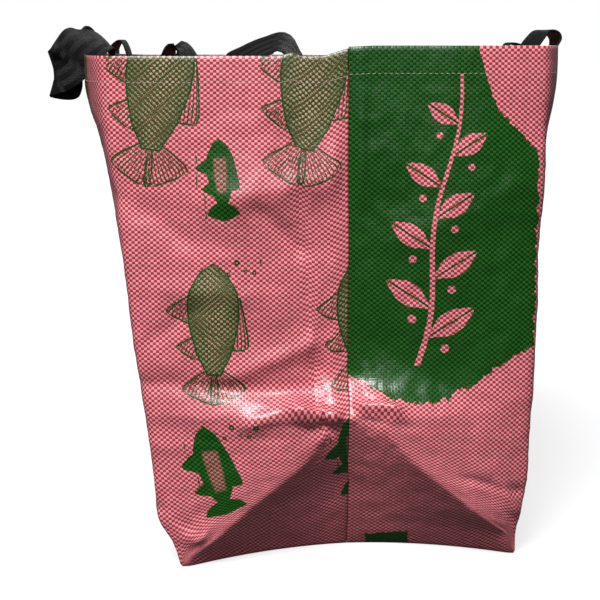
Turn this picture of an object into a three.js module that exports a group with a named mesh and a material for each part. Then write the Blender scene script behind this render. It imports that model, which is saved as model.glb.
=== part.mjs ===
// Rice sack shopping bag: two panels of woven sack cloth, boxed at the base, with two webbing handles.
// Millimetres, +Z up. The bag stands on z = 0 with its narrow sides across X and its main faces along Y.
import * as THREE from 'three';
import { mergeVertices } from 'three/addons/utils/BufferGeometryUtils.js';

// Cloth and sewing
const CLOTH_THICKNESS = 1.2;
const HEM_THICKNESS = 2.6;
const HEM_DEPTH = 28;
const SEAM_ALLOWANCE = 9;
const SEAM_GAP = 0.3;

// Overall form
const RIM_HEIGHT = 436;
const BEAK_HEIGHT = 136;
const CREASE_REACH = 12;
const FACET_HOLLOW = 9;
const SIDE_CROWN = 4;
const BASE_SEAM_HALF = 150;

// Webbing handles
const WEBBING_WIDTH = 38;
const WEBBING_THICKNESS = 1.6;
const WEBBING_GAP = 0.85;
const NEAR_SEWN_Y = -90;
const FAR_SEWN_Y = 38;
const SEWN_LENGTH = 62;
const STRAIGHT_ABOVE_SEWING = 9;

// The near narrow side, seen square on. Each row is one height. Each entry is [x, y] in plan.
// The ridges are the slanting folds of the box base, which run from the beak down to the corners.
const NEAR_SIDE = [
  {
    height: 436, leftEdge: [-196, -235], leftRidge: [-62, -242], seam: [0, -242],
    rightRidge: [62, -239], rightEdge: [158, -226],
  },
  {
    height: 408, leftEdge: [-194, -235], leftRidge: [-60, -241], seam: [0, -240],
    rightRidge: [60, -238], rightEdge: [160, -226],
  },
  {
    height: 340, leftEdge: [-191, -236], leftRidge: [-55, -239], seam: [0, -236],
    rightRidge: [55, -236], rightEdge: [160, -224],
  },
  {
    height: 280, leftEdge: [-183, -236], leftRidge: [-48, -236], seam: [1, -231],
    rightRidge: [50, -233], rightEdge: [158, -222],
  },
  {
    height: 230, leftEdge: [-179, -236], leftRidge: [-42, -233], seam: [1, -227],
    rightRidge: [46, -230], rightEdge: [158, -221],
  },
  {
    height: 190, leftEdge: [-175, -236], leftRidge: [-38, -230], seam: [1, -223],
    rightRidge: [40, -227], rightEdge: [158, -220],
  },
  {
    height: 165, leftEdge: [-172, -236], leftRidge: [-34, -230], seam: [1, -224],
    rightRidge: [36, -229], rightEdge: [158, -219],
  },
  {
    height: 148, leftEdge: [-170, -236], leftRidge: [-30, -238], seam: [2, -237],
    rightRidge: [32, -237], rightEdge: [158, -218],
  },
  {
    height: 136, leftEdge: [-168, -235], leftRidge: [-27, -246], seam: [2, -246],
    rightRidge: [27, -246], rightEdge: [157, -217],
  },
  {
    height: 118, leftEdge: [-166, -235], leftRidge: [-22, -244], seam: [2, -236],
    rightRidge: [38, -244], rightEdge: [157, -216],
  },
  {
    height: 95, leftEdge: [-164, -234], leftRidge: [-35, -242], seam: [2, -223],
    rightRidge: [58, -240], rightEdge: [157, -214],
  },
  {
    height: 70, leftEdge: [-162, -233], leftRidge: [-63, -240], seam: [3, -208],
    rightRidge: [85, -234], rightEdge: [157, -211],
  },
  {
    height: 46, leftEdge: [-160, -232], leftRidge: [-90, -237], seam: [3, -196],
    rightRidge: [113, -226], rightEdge: [154, -207],
  },
  {
    height: 24, leftEdge: [-148, -231], leftRidge: [-114, -234], seam: [3, -184],
    rightRidge: [138, -211], rightEdge: [150, -203],
  },
  {
    height: 8, leftEdge: [-143, -230], leftRidge: [-132, -231], seam: [3, -175],
    rightRidge: [144, -202], rightEdge: [150, -199],
  },
  {
    height: 0, leftEdge: [-141, -230], leftRidge: [-135, -229], seam: [3, -170],
    rightRidge: [146, -197], rightEdge: [150, -198],
  },
];

// How far each main face stands out past the straight line between its two corners.
const MAIN_FACE_BULGE = [
  { height: 436, left: 36, right: 31 },
  { height: 400, left: 37, right: 26 },
  { height: 365, left: 24, right: 14 },
  { height: 333, left: 17, right: 10 },
  { height: 250, left: 12, right: 8 },
  { height: 150, left: 8, right: 6 },
  { height: 60, left: 3, right: 3 },
  { height: 0, left: 0, right: 0 },
];

// The rim is not level: how far it lies above or below RIM_HEIGHT, going round each panel.
const RIM_LIFT = [
  { around: 0.0, left: 2, right: 3 },
  { around: 0.06, left: -4, right: 4 },
  { around: 0.12, left: -4, right: 4 },
  { around: 0.145, left: -1, right: 4 },
  { around: 0.17, left: -4, right: 4 },
  { around: 0.25, left: -4, right: 4 },
  { around: 0.5, left: -3, right: 1 },
  { around: 0.75, left: -6, right: -4 },
  { around: 1.0, left: -7, right: -7 },
];
const RIM_LIFT_FADE = 220;

// The far narrow side is the near one mirrored, with its own lean and its middle drawn in.
const FAR_WIDTH_SHARE = 0.97;
const FAR_LEAN_AT_RIM = -54;
const FAR_SHIFT_LEFT = -8;
const FAR_SHIFT_RIGHT = 38;
const FAR_TUCK = 14;

// Stations round one panel, from the near seam to the far seam: which stretch, and how far along it.
const STATIONS = [
  ...[0, 0.1, 0.34, 0.67].map((share) => ({ stretch: 'nearInner', share })),
  ...[0, 0.25, 0.5, 0.75, 0.93, 1].map((share) => ({ stretch: 'nearOuter', share })),
  ...[0.02, 0.07, 0.15, 0.25, 0.35, 0.45, 0.55, 0.65, 0.75, 0.85, 0.93, 0.98]
    .map((share) => ({ stretch: 'mainFace', share })),
  ...[1, 0.93, 0.75, 0.5, 0.25, 0].map((share) => ({ stretch: 'farOuter', share })),
  ...[0.67, 0.34, 0.1, 0].map((share) => ({ stretch: 'farInner', share })),
];

// Heights of the rows down the walls. The two round the hem step are close together.
const WALL_HEIGHTS = [
  RIM_HEIGHT, RIM_HEIGHT - HEM_DEPTH, RIM_HEIGHT - HEM_DEPTH - 2,
  380, 350, 320, 290, 260, 230, 205, 182, 165, 155, 146, BEAK_HEIGHT,
  127, 115, 98, 80, 62, 46, 34, 22, 10, 3, 0,
];
const BASE_SHARES = [0.04, 0.16, 0.4, 0.7, 1];

const lerp = (start, end, share) => start + (end - start) * share;

// Value between the middle two of four neighbours, on a smooth curve that passes through both.
function smoothBetween(before, start, end, after, share) {
  const startSlope = (end - before) / 2;
  const endSlope = (after - start) / 2;
  const square = share * share;
  const cube = square * share;
  return (2 * cube - 3 * square + 1) * start + (cube - 2 * square + share) * startSlope
    + (3 * square - 2 * cube) * end + (cube - square) * endSlope;
}

// Reads a table whose rows fall in height, at any height, on a smooth curve or on straight lines.
function readTable(table, height, pick, straight = false) {
  let index = 0;
  while (index < table.length - 2 && table[index + 1].height > height) index += 1;
  const upper = table[index];
  const lower = table[index + 1];
  const share = (upper.height - height) / (upper.height - lower.height);
  if (straight) return lerp(pick(upper), pick(lower), share);
  const above = table[Math.max(index - 1, 0)];
  const below = table[Math.min(index + 2, table.length - 1)];
  return smoothBetween(pick(above), pick(upper), pick(lower), pick(below), share);
}

// The ridges and the seam are creased at the beak and below it, and the corners are smooth throughout.
function nearPoint(column, height) {
  const straight = !column.endsWith('Edge') && height < BEAK_HEIGHT + CREASE_REACH;
  return new THREE.Vector2(
    readTable(NEAR_SIDE, height, (row) => row[column][0], straight),
    readTable(NEAR_SIDE, height, (row) => row[column][1], straight),
  );
}

function farPoint(column, height) {
  const near = nearPoint(column, height);
  const rise = height / RIM_HEIGHT;
  const leftCorner = NEAR_SIDE.at(-1).leftEdge[0];
  const rightCorner = NEAR_SIDE.at(-1).rightEdge[0];
  const across = THREE.MathUtils.clamp((near.x - leftCorner) / (rightCorner - leftCorner), 0, 1);
  const lean = FAR_LEAN_AT_RIM * rise * rise;
  const shift = lerp(FAR_SHIFT_LEFT, FAR_SHIFT_RIGHT, across) * (1 - rise);
  const tuck = column === 'seam' ? FAR_TUCK * Math.sin(Math.PI * Math.min(rise, 1)) : 0;
  const seamX = nearPoint('seam', height).x;
  return new THREE.Vector2(seamX + (near.x - seamX) * FAR_WIDTH_SHARE, -near.y + shift + lean - tuck);
}

// Plan position of a station at a height, and how far round the panel it lies.
function planPoint(side, station, height) {
  const edge = side < 0 ? 'leftEdge' : 'rightEdge';
  const ridge = side < 0 ? 'leftRidge' : 'rightRidge';
  const { stretch, share } = station;
  if (stretch === 'mainFace') {
    const start = nearPoint(edge, height);
    const end = farPoint(edge, height);
    const bulge = readTable(MAIN_FACE_BULGE, height, (row) => (side < 0 ? row.left : row.right));
    const point = start.clone().lerp(end, share);
    point.x += side * bulge * Math.sin(Math.PI * share ** 0.8) ** 0.8;
    return point;
  }
  const near = stretch.startsWith('near');
  const corner = near ? nearPoint : farPoint;
  const inward = near ? 1 : -1;
  if (stretch.endsWith('Inner')) {
    const point = corner('seam', height).lerp(corner(ridge, height), share);
    const hollow = height < BEAK_HEIGHT ? FACET_HOLLOW * (1 - height / BEAK_HEIGHT) : 0;
    point.y += inward * hollow * 4 * share * (1 - share);
    return point;
  }
  const point = corner(ridge, height).lerp(corner(edge, height), share);
  const fade = Math.min(height / BEAK_HEIGHT, 1);
  point.y -= inward * SIDE_CROWN * fade * 4 * share * (1 - share);
  return point;
}

function rimLift(side, around, height) {
  const pick = (row) => (side < 0 ? row.left : row.right);
  let index = 0;
  while (index < RIM_LIFT.length - 2 && RIM_LIFT[index + 1].around < around) index += 1;
  const start = RIM_LIFT[index];
  const end = RIM_LIFT[index + 1];
  const lift = lerp(pick(start), pick(end), (around - start.around) / (end.around - start.around));
  const rise = THREE.MathUtils.clamp((height - RIM_HEIGHT + RIM_LIFT_FADE) / RIM_LIFT_FADE, 0, 1);
  return lift * rise;
}

// Share of the way round the base of the panel that each station lies at.
function sharesAround(side) {
  const points = STATIONS.map((station) => planPoint(side, station, 0));
  const lengths = [0];
  for (let index = 1; index < points.length; index += 1) {
    lengths.push(lengths[index - 1] + points[index].distanceTo(points[index - 1]));
  }
  return lengths.map((length) => length / lengths.at(-1));
}

// Outer face of one panel as a grid of points: rows down the wall, then in along the base.
function outerGrid(side) {
  const shares = sharesAround(side);
  const seamShift = side * SEAM_GAP / 2;
  const placed = (station, index, height) => {
    const plan = planPoint(side, station, height);
    return new THREE.Vector3(plan.x + seamShift, plan.y, height + rimLift(side, shares[index], height));
  };
  const wall = WALL_HEIGHTS.map((height) => STATIONS.map((station, index) => placed(station, index, height)));
  const baseLine = wall.at(-1);
  const base = BASE_SHARES.map((share) => baseLine.map((point, index) => {
    const target = new THREE.Vector3(baseLine[0].x, lerp(-BASE_SEAM_HALF, BASE_SEAM_HALF, shares[index]), 0);
    return point.clone().lerp(target, share);
  }));
  return [...wall, ...base];
}

// Direction in which a seam allowance turns in: square to the seam line, in the plane of the seam.
function allowanceDirection(line, index, towards) {
  const before = line[Math.max(index - 1, 0)];
  const after = line[Math.min(index + 1, line.length - 1)];
  const along = after.clone().sub(before).normalize();
  return new THREE.Vector3(0, -along.z * towards, along.y * towards).normalize();
}

// Adds the turned-in allowances: one column at each end, and one row past the seam under the base.
function withAllowances(grid) {
  const up = new THREE.Vector3(0, 0, SEAM_ALLOWANCE);
  const nearLine = grid.map((row) => row[0]);
  const farLine = grid.map((row) => row.at(-1));
  const turned = (line, index, towards) => (index >= WALL_HEIGHTS.length
    ? line[index].clone().add(up)
    : line[index].clone().addScaledVector(allowanceDirection(line, index, towards), SEAM_ALLOWANCE));
  const rows = grid.map((row, index) => [turned(nearLine, index, 1), ...row, turned(farLine, index, -1)]);
  const last = grid.at(-1).map((point) => point.clone().add(up));
  rows.push([last[0].clone(), ...last, last.at(-1).clone()]);
  return rows;
}

function thicknessAt(rowIndex, columnIndex, columnCount) {
  const onAllowance = columnIndex === 0 || columnIndex === columnCount - 1;
  return rowIndex < 2 && !onAllowance ? HEM_THICKNESS : CLOTH_THICKNESS;
}

// Triangles of the outer face, wound so that they face out of the bag.
function gridTriangles(rowCount, columnCount, side) {
  const triangles = [];
  const at = (row, column) => row * columnCount + column;
  for (let row = 0; row < rowCount - 1; row += 1) {
    for (let column = 0; column < columnCount - 1; column += 1) {
      const [a, b] = [at(row, column), at(row, column + 1)];
      const [c, d] = [at(row + 1, column), at(row + 1, column + 1)];
      const pair = column < columnCount / 2 ? [[a, c, b], [b, c, d]] : [[a, c, d], [a, d, b]];
      for (const [first, second, third] of pair) {
        triangles.push(side < 0 ? [first, third, second] : [first, second, third]);
      }
    }
  }
  return triangles;
}

// Index of the first point that lies at each point's place, so that collapsed corners share one point.
function sharedIndexes(points) {
  const seen = new Map();
  return points.map((point, index) => {
    const key = point.toArray().map((value) => value.toFixed(3)).join(' ');
    if (!seen.has(key)) seen.set(key, index);
    return seen.get(key);
  });
}

// Gives a sheet of outer points its thickness and closes it round its edge.
function thickSheet(rows, side) {
  const columnCount = rows[0].length;
  const outer = rows.flat();
  const shared = sharedIndexes(outer);
  const faces = gridTriangles(rows.length, columnCount, side)
    .map((face) => face.map((index) => shared[index]))
    .filter(([a, b, c]) => a !== b && b !== c && a !== c);
  const normals = outer.map(() => []);
  for (const [a, b, c] of faces) {
    const normal = new THREE.Triangle(outer[a], outer[b], outer[c]).getNormal(new THREE.Vector3());
    for (const index of [a, b, c]) normals[index].push(normal);
  }
  const inner = outer.map((point, index) => {
    if (shared[index] !== index) return point.clone();
    const mean = new THREE.Vector3();
    for (const normal of normals[index]) mean.add(normal);
    mean.normalize();
    const least = Math.min(...normals[index].map((normal) => normal.dot(mean)));
    const row = Math.floor(index / columnCount);
    const depth = thicknessAt(row, index % columnCount, columnCount) / Math.max(least, 0.72);
    return point.clone().addScaledVector(mean, -depth);
  });
  return closedGeometry(outer, inner, faces);
}

// Joins an outer and an inner skin with a wall along every edge that only one face uses.
function closedGeometry(outer, inner, faces) {
  const count = outer.length;
  const directed = new Set(faces.flatMap(([a, b, c]) => [`${a} ${b}`, `${b} ${c}`, `${c} ${a}`]));
  const index = [];
  for (const [a, b, c] of faces) {
    index.push(a, b, c);
    index.push(a + count, c + count, b + count);
    for (const [from, to] of [[a, b], [b, c], [c, a]]) {
      if (directed.has(`${to} ${from}`)) continue;
      index.push(to, from, from + count);
      index.push(to, from + count, to + count);
    }
  }
  const geometry = new THREE.BufferGeometry();
  const positions = [...outer, ...inner].flatMap((point) => point.toArray());
  geometry.setAttribute('position', new THREE.Float32BufferAttribute(positions, 3));
  geometry.setIndex(index);
  return mergeVertices(geometry, 1e-4);
}

function panelGeometry(side) {
  return thickSheet(withAllowances(outerGrid(side)), side);
}

// Where a row of the grid crosses a given y on the main face, with the direction along the row there.
function crossing(row, acrossY) {
  const first = STATIONS.findIndex(({ stretch }) => stretch === 'mainFace');
  let index = first;
  while (row[index + 1].y < acrossY) index += 1;
  const [start, end] = [row[index], row[index + 1]];
  const point = start.clone().lerp(end, (acrossY - start.y) / (end.y - start.y));
  return { point, along: end.clone().sub(start).normalize() };
}

// The middle of the webbing where it is sewn flat against the outside of a main face.
function webbingSeat(grid, side, acrossY, height) {
  let index = 0;
  while (crossing(grid[index + 1], acrossY).point.z > height) index += 1;
  const [upper, lower] = [crossing(grid[index], acrossY), crossing(grid[index + 1], acrossY)];
  const share = (upper.point.z - height) / (upper.point.z - lower.point.z);
  const across = upper.along.clone().lerp(lower.along, share).normalize();
  const outward = across.clone().cross(upper.point.clone().sub(lower.point)).normalize();
  outward.multiplyScalar(Math.sign(outward.x) * side);
  const centre = upper.point.clone().lerp(lower.point, share);
  centre.addScaledVector(outward, WEBBING_GAP + WEBBING_THICKNESS / 2);
  return { centre, across };
}

// Free run of each handle between its two sewn ends, chosen by hand. Each row is the middle of the
// webbing, and the direction across its width at that place.
const LEFT_RUN = [
  { centre: [-240, -91, 441], across: [-0.61, 0.75, -0.25] },
  { centre: [-243, -95, 441], across: [-0.61, 0.25, -0.75] },
  { centre: [-244, -103, 436], across: [-0.2, 0.3, -1] },
  { centre: [-242, -113, 426], across: [0, 0.5, -0.8] },
  { centre: [-241, -124, 417], across: [0, 0.5, -1] },
  { centre: [-245, -131, 411], across: [0, 0.2, -1] },
  { centre: [-252, -134, 409], across: [0.1, 0.1, -1] },
  { centre: [-257, -139, 411], across: [0.1, 0, -1] },
  { centre: [-252, -144, 415], across: [0.2, 0, -1] },
  { centre: [-248, -146, 420], across: [0.3, 0, -1] },
  { centre: [-246, -147, 427], across: [0.4, 0, -0.9] },
  { centre: [-246, -144, 436], across: [0.3, 0.45, -0.8] },
  { centre: [-242, -136, 446], across: [0.75, -0.4, -0.2] },
  { centre: [-231, -123, 445], across: [0.5, -0.9, -0.2] },
  { centre: [-221, -108, 444], across: [0.3, -0.95, 0] },
  { centre: [-210, -95, 432], across: [0.1, -1, -0.2] },
  { centre: [-199, -80, 414], across: [0.1, -1, -0.4] },
  { centre: [-188, -66, 394], across: [0.1, -0.9, -0.4] },
  { centre: [-173, -50, 362], across: [0.2, -0.93, -0.3] },
  { centre: [-157, -32, 332], across: [0.5, -0.8, -0.25] },
  { centre: [-142, -8, 306], across: [0.85, -0.5, -0.1] },
  { centre: [-134, 18, 298], across: [1, -0.1, 0] },
  { centre: [-137, 41, 316], across: [0.95, 0.3, 0] },
  { centre: [-143, 52, 354], across: [0.85, 0.5, 0] },
  { centre: [-148, 55, 392], across: [0.7, 0.7, 0] },
  { centre: [-154, 57, 425], across: [0.6, 0.75, 0.1] },
  { centre: [-163, 56, 436], across: [0.55, 0.75, 0.1] },
  { centre: [-172, 53, 424], across: [0.4, 0.85, 0.2] },
  { centre: [-181, 47, 396], across: [0.3, 0.9, 0.2] },
  { centre: [-192, 41, 374], across: [0.2, 1, 0] },
  { centre: [-202, 38, 384], across: [0.1, 1, 0] },
  { centre: [-207, 38, 410], across: [0, 1, 0] },
  { centre: [-209, 38, 434], across: [0, 1, 0] },
  { centre: [-215, 38, 445], across: [0, 1, 0] },
];
const RIGHT_RUN = [
  { centre: [190, -90, 446], across: [-0.1, 1, 0] },
  { centre: [186, -91, 452], across: [-0.2, 1, 0] },
  { centre: [178, -92, 453], across: [-0.22, 1, 0] },
  { centre: [171, -94, 446], across: [-0.25, 1, 0.05] },
  { centre: [159, -95, 429], across: [-0.25, 1, 0.1] },
  { centre: [136, -92, 402], across: [-0.2, 1, 0.2] },
  { centre: [90, -83, 368], across: [-0.1, 1, 0.4] },
  { centre: [40, -75, 354], across: [0, 1, 0.5] },
  { centre: [-5, -68, 384], across: [0, 0.9, 0.5] },
  { centre: [-36, -62, 420], across: [0, 0.9, 0.5] },
  { centre: [-55, -58, 442], across: [0, 0.9, 0.5] },
  { centre: [-76, -50, 437], across: [0.1, 0.9, 0.5] },
  { centre: [-100, -32, 423], across: [0.3, 0.45, 0.85] },
  { centre: [-112, -4, 412], across: [0.1, 0.1, 1] },
  { centre: [-99, 26, 400], across: [0, -0.3, 0.95] },
  { centre: [-62, 42, 380], across: [0, -0.6, 0.8] },
  { centre: [-12, 50, 357], across: [0, -0.85, 0.5] },
  { centre: [46, 50, 338], across: [0, -1, 0.2] },
  { centre: [104, 45, 350], across: [0, -1, 0] },
  { centre: [144, 40, 396], across: [0, -1, 0] },
  { centre: [161, 38, 430], across: [0, -1, 0] },
  { centre: [167, 38, 442], across: [0, -1, 0] },
];

// Whole run of one handle: up the near sewn end, along its free run and down the far sewn end.
function handleStops(side, run) {
  const grid = outerGrid(side);
  const top = RIM_HEIGHT - 8;
  const heights = [0, 0.2, 0.4, 0.6, 0.8, 1].map((share) => top - SEWN_LENGTH * (1 - share));
  const near = heights.map((height) => webbingSeat(grid, side, NEAR_SEWN_Y, height));
  const far = heights.map((height) => webbingSeat(grid, side, FAR_SEWN_Y, height));
  for (const sewn of [near, far]) {
    const [below, last] = sewn.slice(-2);
    const rise = last.centre.clone().sub(below.centre).setLength(STRAIGHT_ABOVE_SEWING);
    sewn.push({ centre: last.centre.clone().add(rise), across: last.across.clone() });
  }
  far.reverse();
  const free = run.map((stop) => ({
    centre: new THREE.Vector3(...stop.centre),
    across: new THREE.Vector3(...stop.across).normalize(),
  }));
  const stops = [...near, ...free, ...far];
  for (let index = 1; index < stops.length; index += 1) {
    if (stops[index].across.dot(stops[index - 1].across) < 0) stops[index].across.negate();
  }
  return stops;
}

// Flat webbing swept along its stops, with two steps between each pair.
function webbingGeometry(stops) {
  const stepsBetween = 2;
  const curve = new THREE.CatmullRomCurve3(stops.map((stop) => stop.centre), false, 'centripetal');
  const total = (stops.length - 1) * stepsBetween;
  const corners = [[-1, -1], [1, -1], [1, 1], [-1, 1]];
  const positions = [];
  for (let step = 0; step <= total; step += 1) {
    const place = step / total;
    const index = Math.min(Math.floor(step / stepsBetween), stops.length - 2);
    const share = step / stepsBetween - index;
    const tangent = curve.getTangent(place);
    const across = stops[index].across.clone().lerp(stops[index + 1].across, share);
    across.addScaledVector(tangent, -across.dot(tangent)).normalize();
    const normal = tangent.clone().cross(across);
    const centre = curve.getPoint(place);
    for (const [alongWidth, alongNormal] of corners) {
      const corner = centre.clone()
        .addScaledVector(across, alongWidth * WEBBING_WIDTH / 2)
        .addScaledVector(normal, alongNormal * WEBBING_THICKNESS / 2);
      positions.push(...corner.toArray());
    }
  }
  const index = [];
  const sides = corners.length;
  for (let step = 0; step < total; step += 1) {
    for (let corner = 0; corner < sides; corner += 1) {
      const here = step * sides + corner;
      const next = step * sides + (corner + 1) % sides;
      index.push(here, next, next + sides, here, next + sides, here + sides);
    }
  }
  const end = total * sides;
  index.push(0, 2, 1, 0, 3, 2);
  index.push(end, end + 1, end + 2, end, end + 2, end + 3);
  const geometry = new THREE.BufferGeometry();
  geometry.setAttribute('position', new THREE.Float32BufferAttribute(positions, 3));
  geometry.setIndex(index);
  return geometry;
}

function namedMesh(name, geometry, color, roughness) {
  geometry.computeVertexNormals();
  const mesh = new THREE.Mesh(geometry, new THREE.MeshStandardMaterial({ color, roughness, metalness: 0 }));
  mesh.name = name;
  return mesh;
}

const bag = new THREE.Group();
bag.add(namedMesh('fish_panel', panelGeometry(-1), 0xd98a92, 0.4));
bag.add(namedMesh('leaf_panel', panelGeometry(1), 0x2f6b34, 0.4));
bag.add(namedMesh('left_handle', webbingGeometry(handleStops(-1, LEFT_RUN)), 0x1b1a1c, 0.8));
bag.add(namedMesh('right_handle', webbingGeometry(handleStops(1, RIGHT_RUN)), 0x1b1a1c, 0.8));

// The bag's origin is the middle of the base of its box.
const box = new THREE.Box3().setFromObject(bag);
const middle = box.getCenter(new THREE.Vector3());
bag.position.set(-middle.x, -middle.y, -box.min.z);

export default bag;
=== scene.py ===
# Rice sack shopping bag: the looks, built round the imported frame. Blender works in metres. The tables of
# the bag are in millimetres, as a maker measures, and MM turns them into metres.
import math

import bpy
import numpy as np
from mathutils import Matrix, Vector, noise


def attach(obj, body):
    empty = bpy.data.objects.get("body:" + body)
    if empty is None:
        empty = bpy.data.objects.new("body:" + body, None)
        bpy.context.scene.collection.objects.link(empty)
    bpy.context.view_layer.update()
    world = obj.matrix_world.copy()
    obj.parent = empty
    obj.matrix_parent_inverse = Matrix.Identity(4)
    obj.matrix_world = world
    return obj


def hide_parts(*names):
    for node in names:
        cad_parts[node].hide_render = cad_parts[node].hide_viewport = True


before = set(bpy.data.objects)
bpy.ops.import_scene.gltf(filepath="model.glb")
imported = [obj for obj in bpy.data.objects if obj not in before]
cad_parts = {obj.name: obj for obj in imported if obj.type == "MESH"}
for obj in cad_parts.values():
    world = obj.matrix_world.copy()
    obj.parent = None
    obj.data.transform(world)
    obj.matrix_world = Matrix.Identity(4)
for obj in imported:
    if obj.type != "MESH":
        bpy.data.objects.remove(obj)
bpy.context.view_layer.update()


# Camera
# Level with the rim, square on to the near narrow side, looking a little down along +Y.
MM = 0.001
CAMERA_PLACE = (-3.1 * MM, -1359.8 * MM, 442 * MM)
CAMERA_PITCH = math.radians(10.5)
SENSOR_WIDTH = 36.0
FOCAL_IN_PICTURE_WIDTHS = 1384 / 600


def put_in_scene(name, data):
    made = bpy.data.objects.new(name, data)
    bpy.context.scene.collection.objects.link(made)
    return made


camera_data = bpy.data.cameras.new("photo_camera")
camera_data.sensor_width = SENSOR_WIDTH
camera_data.lens = SENSOR_WIDTH * FOCAL_IN_PICTURE_WIDTHS
camera = put_in_scene("photo_camera", camera_data)
camera.location = CAMERA_PLACE
camera.rotation_euler = (math.pi / 2 - CAMERA_PITCH, 0, 0)
bpy.context.scene.camera = camera


# Floor and light
# A plain pale floor in a pale room. The camera sees both bright, and the bag gets less light from them than
# from the broad lamps above and beside the camera, so its folds keep their shade.
FLOOR_HALF = 30.0
FLOOR_CORNERS = ((-1, -1), (1, -1), (1, 1), (-1, 1))
ROOM_SEEN = 1.0
ROOM_LIGHT = 0.12
FLOOR_SEEN = 0.30
FLOOR_BOUNCE = 0.06
FLOOR_GLOW = 0.72
SUN_STRENGTH = 3.6
SUN_SOFTNESS = math.radians(26)
SUN_FROM = (-0.42, -1.0, 1.45)
SOFT_LIGHTS = (
    # name, place, what it is turned to, size and watts, in metres
    ("rim", (-0.15, -1.05, 1.15), (-0.02, -0.2, 0.42), 0.4, 7),
    ("gloss", (0.1, -2.2, 1.05), (0, -0.2, 0.3), 1.0, 6),
    ("back", (0.8, 1.6, 1.6), (0, 0, 0.2), 1.2, 14),
)
bpy.context.scene.view_settings.view_transform = "Standard"


def tone_by_ray(tree, unseen, seen, socket):
    """Gives a socket one value where the camera looks, and another for the light that reaches the bag."""
    rays = tree.nodes.new("ShaderNodeLightPath")
    tone = tree.nodes.new("ShaderNodeMapRange")
    tone.inputs["To Min"].default_value = unseen
    tone.inputs["To Max"].default_value = seen
    tree.links.new(rays.outputs["Is Camera Ray"], tone.inputs["Value"])
    tree.links.new(tone.outputs["Result"], socket)


floor_mesh = bpy.data.meshes.new("floor")
floor_mesh.from_pydata([(x * FLOOR_HALF, y * FLOOR_HALF, 0) for x, y in FLOOR_CORNERS], [], [(0, 1, 2, 3)])
floor = put_in_scene("floor", floor_mesh)
floor_finish = bpy.data.materials.new("pale_floor")
floor_finish.use_nodes = True
floor_shader = floor_finish.node_tree.nodes["Principled BSDF"]
floor_shader.inputs["Roughness"].default_value = 0.9
floor_shader.inputs["Specular IOR Level"].default_value = 0.1
floor_shader.inputs["Emission Color"].default_value = (1, 1, 1, 1)
tone_by_ray(floor_finish.node_tree, FLOOR_BOUNCE, FLOOR_SEEN, floor_shader.inputs["Base Color"])
tone_by_ray(floor_finish.node_tree, 0, FLOOR_GLOW, floor_shader.inputs["Emission Strength"])
floor_mesh.materials.append(floor_finish)

room = bpy.data.worlds.new("pale_room")
room.use_nodes = True
room_background = room.node_tree.nodes["Background"]
room_background.inputs["Color"].default_value = (1, 1, 1, 1)
tone_by_ray(room.node_tree, ROOM_LIGHT, ROOM_SEEN, room_background.inputs["Strength"])
bpy.context.scene.world = room

key_data = bpy.data.lights.new("key", "SUN")
key_data.energy = SUN_STRENGTH
key_data.angle = SUN_SOFTNESS
key = put_in_scene("key", key_data)
key.rotation_euler = (-Vector(SUN_FROM)).to_track_quat("-Z", "Y").to_euler()

for name, place, aim, size, watts in SOFT_LIGHTS:
    light_data = bpy.data.lights.new(name, "AREA")
    light_data.shape = "DISK"
    light_data.size = size
    light_data.energy = watts
    light = put_in_scene(name, light_data)
    light.location = place
    light.rotation_euler = (Vector(aim) - Vector(place)).to_track_quat("-Z", "Y").to_euler()


# Cloth panels
# Each half of the bag is one piece of laminated sack cloth: half a narrow side, a main face, half the other
# narrow side and half the base. The two are sewn together face to face along the side seams and the base.
CLOTH_THICKNESS = 0.5
HEM_DEPTH = 28
HEM_GAP = 1.1
SEAM_ALLOWANCE = 9
SEAM_GAP = 0.3
RIM_HEIGHT = 436
BEAK_HEIGHT = 136
CREASE_REACH = 12
FACET_HOLLOW = 9
SIDE_CROWN = 4
BASE_SEAM_HALF = 150
CLOTH_DROP = 455
TO_FRAME = np.array([35.92, -4.79, 0.0])

# The near narrow side, seen square on: (x, y) of the left corner, left ridge, seam, right ridge and right
# corner at each height. The ridges are the slanting folds of the boxed base.
COLUMNS = ("left_edge", "left_ridge", "seam", "right_ridge", "right_edge")
NEAR_SIDE = {
    436: ((-196, -235), (-62, -242), (0, -242), (62, -239), (158, -226)),
    408: ((-194, -235), (-60, -241), (0, -240), (60, -238), (160, -226)),
    340: ((-191, -236), (-55, -239), (0, -236), (55, -236), (160, -224)),
    280: ((-183, -236), (-48, -236), (1, -231), (50, -233), (158, -222)),
    230: ((-179, -236), (-42, -233), (1, -227), (46, -230), (158, -221)),
    190: ((-175, -236), (-38, -230), (1, -223), (40, -227), (158, -220)),
    165: ((-172, -236), (-34, -230), (1, -224), (36, -229), (158, -219)),
    148: ((-170, -236), (-30, -238), (2, -237), (32, -237), (158, -218)),
    136: ((-168, -235), (-27, -246), (2, -246), (27, -246), (157, -217)),
    118: ((-166, -235), (-22, -244), (2, -236), (38, -244), (157, -216)),
    95: ((-164, -234), (-35, -242), (2, -223), (58, -240), (157, -214)),
    70: ((-162, -233), (-63, -240), (3, -208), (85, -234), (157, -211)),
    46: ((-160, -232), (-90, -237), (3, -196), (113, -226), (154, -207)),
    24: ((-148, -231), (-114, -234), (3, -184), (138, -211), (150, -203)),
    8: ((-143, -230), (-132, -231), (3, -175), (144, -202), (150, -199)),
    0: ((-141, -230), (-135, -229), (3, -170), (146, -197), (150, -198)),
}
# How far each main face stands out past the straight line between its corners, by height: left, right.
MAIN_FACE_BULGE = {
    436: (36, 31), 400: (37, 26), 365: (24, 14), 333: (17, 10),
    250: (12, 8), 150: (8, 6), 60: (3, 3), 0: (0, 0),
}
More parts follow.
